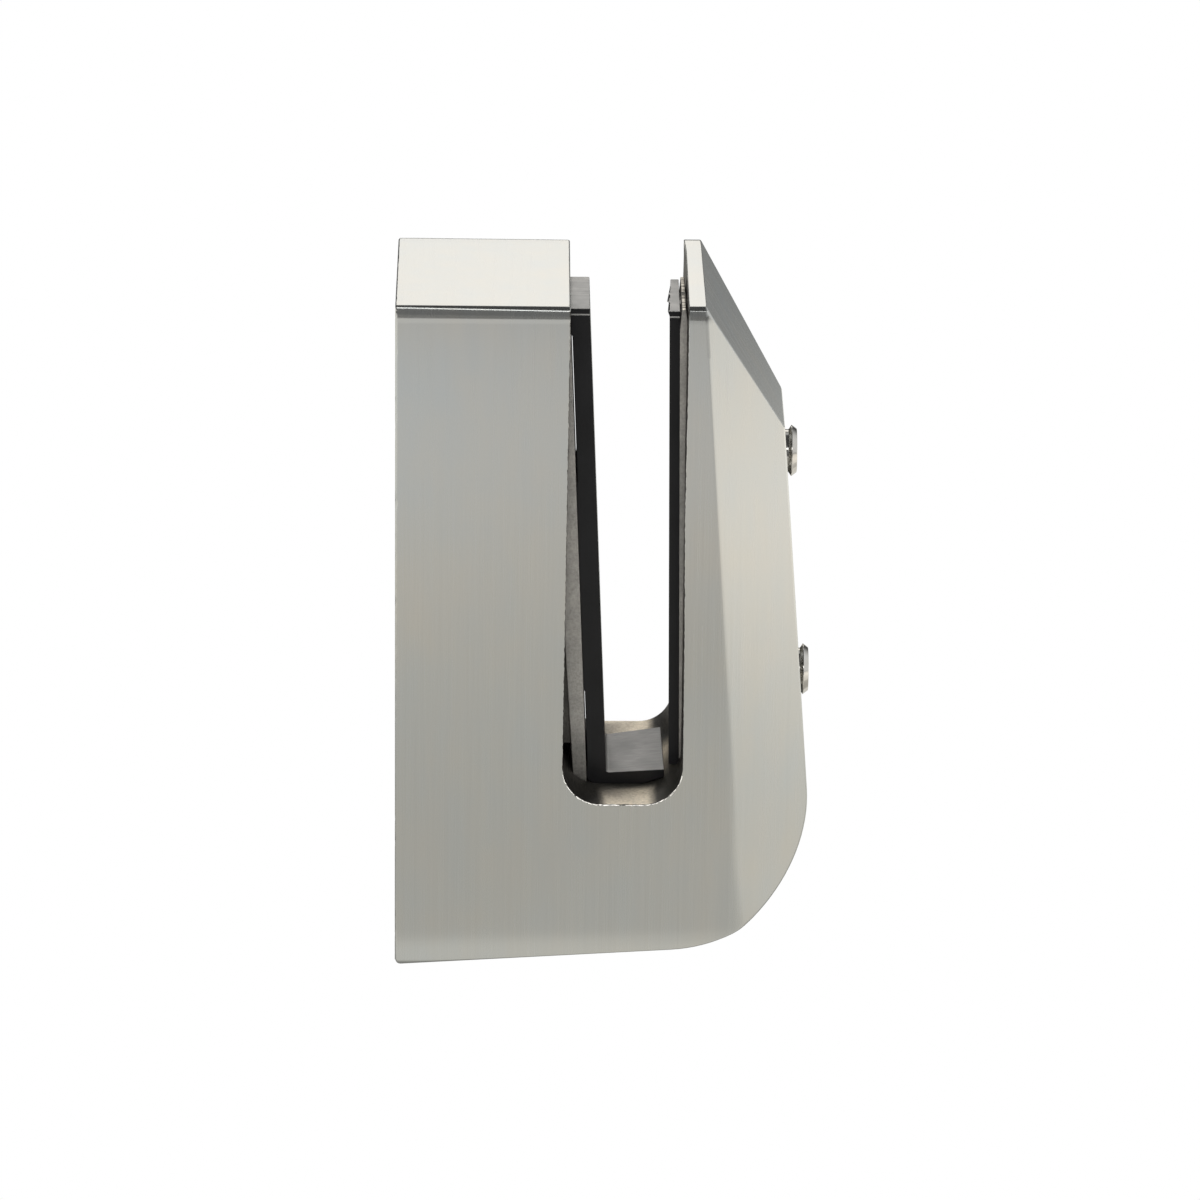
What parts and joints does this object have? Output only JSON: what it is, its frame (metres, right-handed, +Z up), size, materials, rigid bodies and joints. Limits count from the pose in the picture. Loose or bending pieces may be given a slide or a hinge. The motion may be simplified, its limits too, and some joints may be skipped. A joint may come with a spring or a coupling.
{
  "type": "side-mounted glass spigot",
  "caption": "Side-mounted stainless spigot: a wall block and a sloped nose grip an upright glass panel in a rubber-lined slot, closed by clamp screws.",
  "frame": {"origin": "on the wall face, midway between the two wall bolt holes", "axes": "+X from the wall outwards, +Y along the wall, +Z up"},
  "size_m": [0.0976, 0.05, 0.165],
  "materials": {
    "brushed_casting": "upright brushed grain, softly broken edges",
    "plate_steel": "raw matt bar",
    "black_rubber": "moulded, satin",
    "polished_screw": "turned and polished stainless"
  },
  "bodies": {
    "spigot": {"spigot_body": "brushed_casting", "rear_backing_plate": "plate_steel", "glass_liner": "black_rubber"},
    "clamp": {"pressure_plate": "plate_steel", "front_pad": "black_rubber"},
    "upper_screw": {"upper_clamp_screw": "polished_screw"},
    "lower_screw": {"lower_clamp_screw": "polished_screw"}
  },
  "joints": [
    {"name": "clamp_slide", "type": "slide", "parent": "spigot", "child": "clamp", "axis": [-1, 0, 0], "range_m": [0, 0.0024]},
    {"name": "upper_screw_turn", "type": "hinge", "parent": "clamp", "child": "upper_screw", "pos_m": [0.0675, 0, 0.0275], "axis": [-1, 0, 0], "range_deg": [0, 576]},
    {"name": "lower_screw_turn", "type": "hinge", "parent": "clamp", "child": "lower_screw", "pos_m": [0.0675, 0, -0.0275], "axis": [-1, 0, 0], "range_deg": [0, 576]}
  ],
  "couplings": [
    {"joint": "upper_screw_turn", "follows": "clamp_slide", "rad_per_m": 4188.8},
    {"joint": "lower_screw_turn", "follows": "clamp_slide", "rad_per_m": 4188.8}
  ]
}
